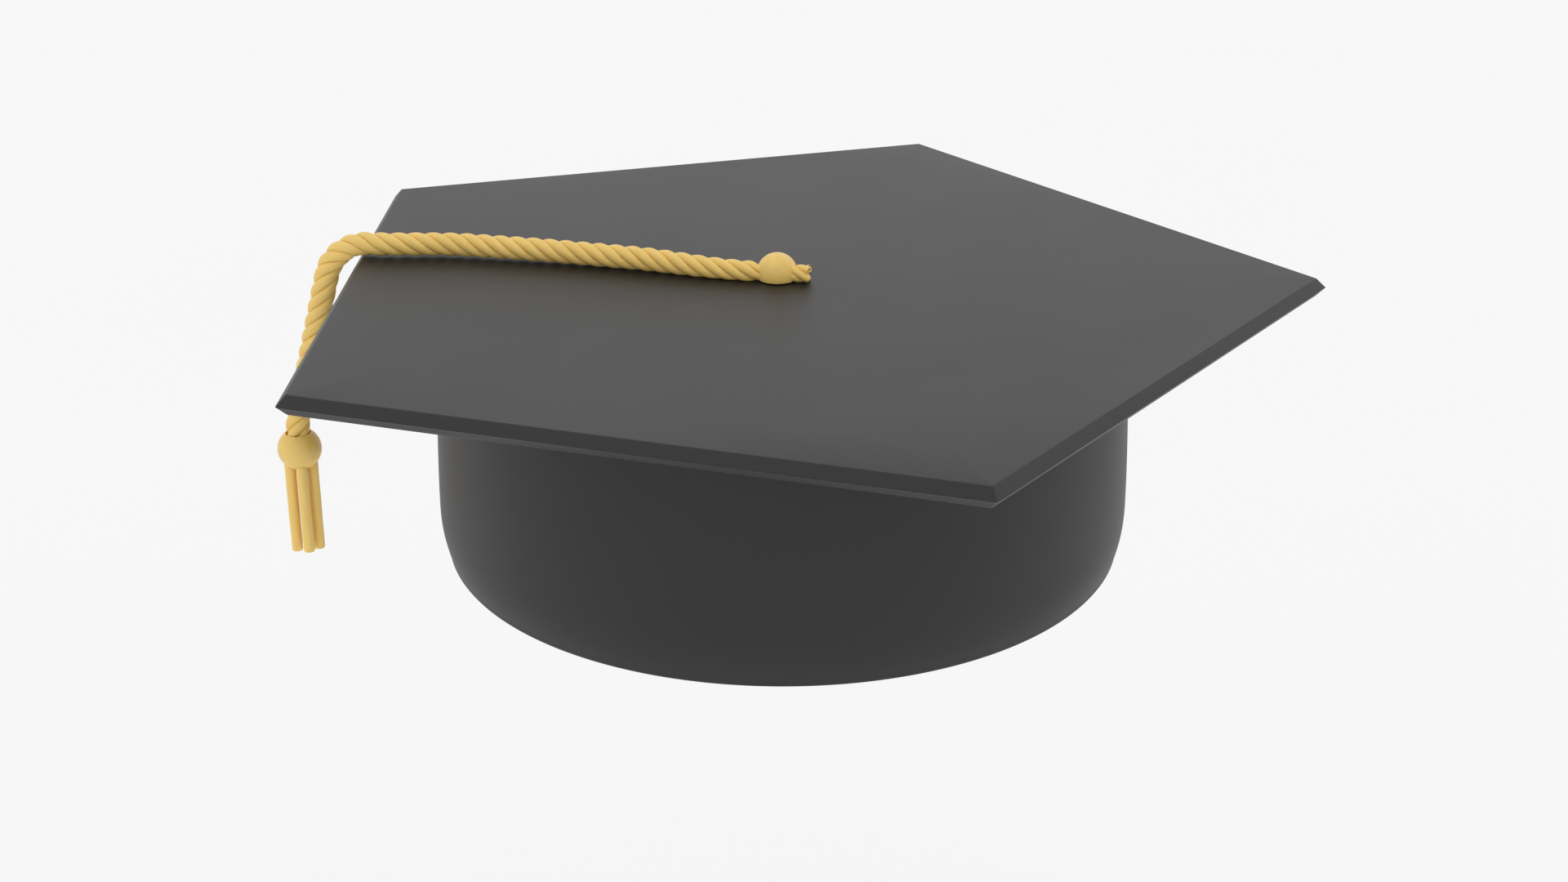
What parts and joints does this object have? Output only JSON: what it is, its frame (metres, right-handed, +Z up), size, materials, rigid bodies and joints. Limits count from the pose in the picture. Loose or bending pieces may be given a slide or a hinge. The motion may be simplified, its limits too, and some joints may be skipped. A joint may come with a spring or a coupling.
{
  "type": "graduation cap",
  "caption": "Graduation cap: five-sided stiff fabric board on a round fitted crown, with a gold twisted cord clamped at the middle that hangs over the edge to a small bead and strands.",
  "frame": {"origin": "centre of the crown's inside ceiling (underside of the tip lining), on the crown's axis", "axes": "+Z up, out of the top of the board; +X to the wearer's left; +Y to the wearer's back, with one corner of the board pointing forward along -Y"},
  "size_m": [0.2868, 0.2728, 0.1022],
  "materials": {
    "board_fabric": "matte",
    "crown_fabric": "matte",
    "board_core": "matte",
    "buckram": "matte",
    "lining_satin": "satin",
    "sweatband": "matte",
    "elastic": "matte",
    "label": "matte",
    "gold_cord": "matte",
    "gold_bead": "satin",
    "brass_hardware": "satin",
    "steel_hardware": "satin"
  },
  "bodies": {
    "cap": {"board_top_cover": "board_fabric", "board_core": "board_core", "board_bottom_cover": "board_fabric", "center_eyelet": "brass_hardware", "crown_tip": "crown_fabric", "crown_shell": "crown_fabric", "back_gusset": "crown_fabric", "crown_stiffener": "buckram", "crown_lining": "lining_satin", "tip_lining": "lining_satin", "sweatband": "sweatband", "elastic_band": "elastic", "size_label": "label"},
    "cord_run": {"knot_bead": "gold_bead", "button_stem": "brass_hardware", "stem_washer": "steel_hardware", "stem_lock_ring": "steel_hardware", "run_ply_1": "gold_cord", "run_ply_2": "gold_cord", "run_ply_3": "gold_cord", "run_ply_4": "gold_cord"},
    "cord_bend": {"bend_ply_1": "gold_cord", "bend_ply_2": "gold_cord", "bend_ply_3": "gold_cord", "bend_ply_4": "gold_cord"},
    "cord_drop": {"drop_ply_1": "gold_cord", "drop_ply_2": "gold_cord", "drop_ply_3": "gold_cord", "drop_ply_4": "gold_cord"},
    "tassel_head": {"tassel_bead": "gold_bead"},
    "tassel_strand_1": {"strand_1": "gold_cord"},
    "tassel_strand_2": {"strand_2": "gold_cord"},
    "tassel_strand_3": {"strand_3": "gold_cord"},
    "tassel_strand_4": {"strand_4": "gold_cord"}
  },
  "joints": [
    {"name": "tassel_turn", "type": "hinge", "parent": "cap", "child": "cord_run", "pos_m": [0, 0, 0.01], "axis": [0, 0, 1], "range_deg": [-3, 22]},
    {"name": "cord_swing", "type": "hinge", "parent": "cord_run", "child": "cord_bend", "pos_m": [-0.0913, -0.08972, 0.01086], "axis": [-0.7009, 0.7133, 0], "range_deg": [-22, 75], "deforming": ["bend_ply_1", "bend_ply_2", "bend_ply_3", "bend_ply_4"]},
    {"name": "cord_sway", "type": "hinge", "parent": "cord_bend", "child": "cord_drop", "pos_m": [-0.09494, -0.0933, 0.0032], "axis": [-0.7133, -0.7009, 0], "range_deg": [-35, 35], "deforming": ["bend_ply_1", "bend_ply_2", "bend_ply_3", "bend_ply_4"]},
    {"name": "tassel_tilt", "type": "hinge", "parent": "cord_drop", "child": "tassel_head", "pos_m": [-0.10427, -0.10246, -0.04636], "axis": [-0.7009, 0.7133, 0], "range_deg": [-20, 20]},
    {"name": "strand_splay_1", "type": "hinge", "parent": "tassel_head", "child": "tassel_strand_1", "pos_m": [-0.1012, -0.10373, -0.05615], "axis": [-0.3811, -0.9245, 0], "range_deg": [0, 25]},
    {"name": "strand_splay_2", "type": "hinge", "parent": "tassel_head", "child": "tassel_strand_2", "pos_m": [-0.103, -0.09939, -0.05615], "axis": [0.9245, -0.3811, 0], "range_deg": [0, 25]},
    {"name": "strand_splay_3", "type": "hinge", "parent": "tassel_head", "child": "tassel_strand_3", "pos_m": [-0.10734, -0.1012, -0.05615], "axis": [0.3811, 0.9245, 0], "range_deg": [0, 25]},
    {"name": "strand_splay_4", "type": "hinge", "parent": "tassel_head", "child": "tassel_strand_4", "pos_m": [-0.10553, -0.10553, -0.05615], "axis": [-0.9245, 0.3811, 0], "range_deg": [0, 25]}
  ]
}
